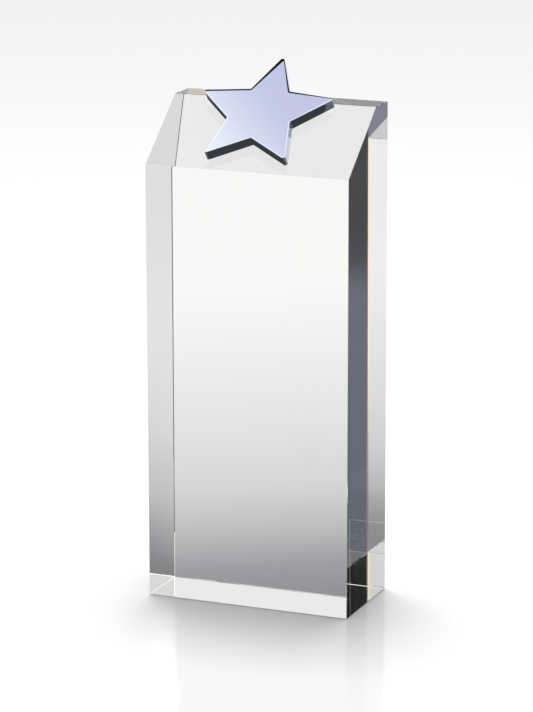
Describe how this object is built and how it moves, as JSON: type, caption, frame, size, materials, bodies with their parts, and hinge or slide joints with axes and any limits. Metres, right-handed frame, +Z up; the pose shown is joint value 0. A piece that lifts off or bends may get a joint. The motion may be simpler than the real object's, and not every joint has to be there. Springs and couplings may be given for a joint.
{
  "type": "crystal award",
  "caption": "Upright rectangular crystal block with a sloped top and a five-pointed plated star lying on the slope.",
  "frame": {"origin": "centre of the block's flat base", "axes": "+Z up along the block, front face looking towards -Y, +X to the right seen from the front"},
  "size_m": [0.076, 0.039, 0.1913],
  "materials": {
    "crystal": "clear optical crystal, all faces and edges polished",
    "adhesive": "clear cured adhesive film, smooth",
    "star_metal": "mirror-polished plating"
  },
  "bodies": {
    "root": {"crystal_block": "crystal", "adhesive_film": "adhesive", "star": "star_metal"}
  },
  "joints": []
}
